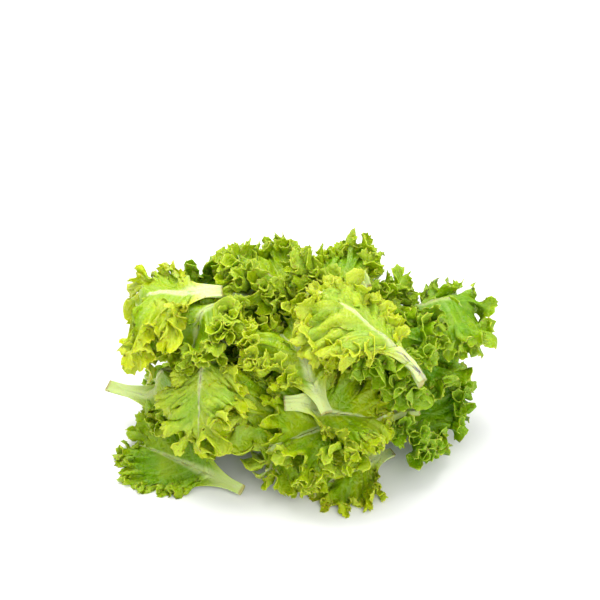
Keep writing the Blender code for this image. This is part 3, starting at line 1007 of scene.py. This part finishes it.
def leaf_piece(leaf, folded=False):
    """Lays a leaf on the heap, grows it, and puts it in the place of its CAD leaf."""
    blade = grown_blade(leaf, heap.lay(leaf))
    corners, faces, facts, relief = blade_skin(leaf, blade)
    if folded:
        fold = folded_border(leaf, blade)
        faces = faces + [[len(corners) + k for k in face] for face in fold.faces]
        corners = np.concatenate([corners, fold.corners])
        facts = {name: np.concatenate([facts[name], fold.facts[name]]) for name in facts}
        relief = np.concatenate([relief, fold.relief])
    mesh = bpy.data.meshes.new(leaf.name + "_fine")
    mesh.from_pydata(corners.tolist(), [], faces)
    for name, values in facts.items():
        attribute = mesh.attributes.new(name, "FLOAT", "POINT")
        attribute.data.foreach_set("value", np.ascontiguousarray(values, np.float32))
    piece = bpy.data.objects.new(leaf.name + "_fine", mesh)
    bpy.context.scene.collection.objects.link(piece)
    ribs = piece.vertex_groups.new(name="rib")
    levels = np.round(relief / RIB_DEPTH * RIB_LEVELS).astype(int)
    for level in range(1, RIB_LEVELS + 1):
        ribs.add(np.nonzero(levels == level)[0].tolist(), level / RIB_LEVELS, "REPLACE")

    bpy.ops.object.select_all(action="DESELECT")
    bpy.context.view_layer.objects.active = piece
    piece.select_set(True)
    bpy.ops.object.mode_set(mode="EDIT")
    bpy.ops.mesh.select_all(action="SELECT")
    bpy.ops.mesh.remove_doubles(threshold=DOUBLES_APART)
    bpy.ops.mesh.delete_loose()
    bpy.ops.object.mode_set(mode="OBJECT")
    upper_corners = len(piece.data.vertices)
    flesh = piece.modifiers.new("flesh", "SOLIDIFY")
    flesh.thickness = LEAF_THICKNESS + RIB_DEPTH
    flesh.offset = -1
    flesh.vertex_group = "rib"
    flesh.thickness_vertex_group = LEAF_THICKNESS / (LEAF_THICKNESS + RIB_DEPTH)
    bpy.ops.object.modifier_apply(modifier=flesh.name)
    under = piece.data.attributes.new("under", "FLOAT", "POINT")
    is_under = np.arange(len(piece.data.vertices)) >= upper_corners
    under.data.foreach_set("value", is_under.astype(np.float32))
    bpy.ops.object.shade_smooth()
    piece.data.materials.append(leaf_material(leaf))
    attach(piece, "root")
    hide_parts(leaf.name)


# The leaves that lie on the table: two show at the front left and the front right, with a pale one at
# the very front, and three are spread beneath the back of the heap.
leaf_piece(Leaf("leaf_floor_back_left", (-15, 18, 3), (-110, 50, -2), 8, 0, 106, 0.3, seed=2, cup=12))
leaf_piece(Leaf("leaf_floor_back_right", (20, 16, 3), (112, 42, -2), 8, 0, 106, 0.3, seed=3, cup=12))
leaf_piece(Leaf("leaf_floor_back", (0, 10, 8), (4, 102, -1), 9, 0, 112, 0.4, seed=4, cup=12))
leaf_piece(Leaf("leaf_floor_left", (-38, -89, 6), (-120, -32, 4), 5, -8, 74, 0.4, seed=5, cup=12))
leaf_piece(Leaf("leaf_front", (68, -50, 9), (8, -88, 2), 5, 8, 66, 0.8, seed=7, fold=0, cup=-10))
leaf_piece(Leaf("leaf_floor_right", (48, -14, 20), (106, -44, 10), 8, 5, 104, 0.1, seed=6, cup=50),
           folded=True)

# The lower layer: a dark leaf and a long stalk at the left, and at the front three leaves that cross
# each other, with the frill that hangs to the table between them.
leaf_piece(Leaf("leaf_left_inner", (-114, 20, 16), (-16, -30, 64), 8, 0, 92, 0.0, seed=8, cup=50))
leaf_piece(Leaf("leaf_left_stalk", (-138, -4, 34), (-24, -54, 44), -6, 0, 82, 0.5, seed=9, cup=40))
leaf_piece(Leaf("leaf_front_frill", (25, -42, 42), (-22, -84, 14), 12, 0, 82, 0.6, seed=10, cup=10),
           folded=True)
leaf_piece(Leaf("leaf_right_stalk", (84, -52, 46), (-16, -84, 38), 8, 0, 74, 0.6, seed=11))
leaf_piece(Leaf("leaf_front_middle", (-8, -74, 56), (58, -68, 44), 8, 0, 70, 0.7, seed=12))

# The back and the core of the heap: leaves that lean outwards over the floor leaves, and a dark one in
# the middle that shows between the leaves in front of it.
leaf_piece(Leaf("leaf_back", (0, -6, 46), (-4, 84, 20), 14, 0, 110, 0.3, seed=26, cup=15))
leaf_piece(Leaf("leaf_back_left", (-8, 10, 54), (-84, 56, 30), 14, 0, 104, 0.4, seed=13))
leaf_piece(Leaf("leaf_back_right", (15, 5, 50), (92, 48, 26), 14, 0, 104, 0.3, seed=14))
leaf_piece(Leaf("leaf_back_middle", (-8, 0, 66), (-12, 80, 44), 14, 0, 100, 0.3, seed=27, cup=15))
leaf_piece(Leaf("leaf_middle", (12, 14, 74), (-34, -44, 70), 10, 0, 88, 0.1, seed=28, cup=45))

# The middle layer: the leaf at the front left lies with its paler underside up, the one in the centre
# points away from its stalk at the front, and a close cluster of frills fills the right.
leaf_piece(Leaf("leaf_front_left", (-46, -30, 66), (-62, -88, 34), 18, 180, 62, 0.8, seed=15, fold=15))
leaf_piece(Leaf("leaf_centre", (20, -86, 68), (-18, -22, 96), 6, 0, 84, 0.7, seed=16, cup=40), folded=True)
leaf_piece(Leaf("leaf_right_frill", (38, 4, 84), (94, -42, 54), 16, 0, 106, 0.2, seed=17, cup=20,
                ruffle=11, waves=7.5), folded=True)
leaf_piece(Leaf("leaf_right_tuft", (20, -4, 84), (70, -58, 66), 14, 0, 84, 0.2, seed=29, ruffle=11),
           folded=True)
leaf_piece(Leaf("leaf_back_top", (10, -10, 78), (5, 70, 62), 14, 0, 100, 0.4, seed=18), folded=True)

# The sides: at the left a green leaf, a small tuft and a yellow fan over it, and at the right a fan that
# reaches out from the heap and a leaf that hangs by its thick stalk with its underside up.
leaf_piece(Leaf("leaf_upper_left", (-120, 28, 52), (-28, -8, 90), 12, 0, 84, 0.2, seed=21, cup=55),
           folded=True)
leaf_piece(Leaf("leaf_left_tuft", (-30, -6, 72), (-72, -46, 60), 12, 0, 68, 0.5, seed=30), folded=True)
leaf_piece(Leaf("leaf_left_fan", (-40, -12, 62), (-98, -14, 44), 8, 0, 84, 1.0, seed=19))
leaf_piece(Leaf("leaf_right_fan", (50, 16, 78), (126, 0, 56), 8, 15, 80, 0.3, seed=20))
leaf_piece(Leaf("leaf_right_neck", (68, -70, 52), (6, -30, 96), 12, 170, 74, 0.9, seed=22, cup=55),
           folded=True)

# The top: three frilled leaves that cross each other over the middle of the heap. They lie loose on
# those below, with their stalks near its middle.
leaf_piece(Leaf("leaf_top_left", (30, 4, 90), (-48, 24, 102), 10, 0, 84, 0.5, seed=23), folded=True)
leaf_piece(Leaf("leaf_top_right", (15, 0, 92), (64, 34, 86), 10, 0, 80, 0.3, seed=24), folded=True)
leaf_piece(Leaf("leaf_top", (44, -8, 98), (12, 30, 112), 10, 0, 78, 0.5, seed=25), folded=True)
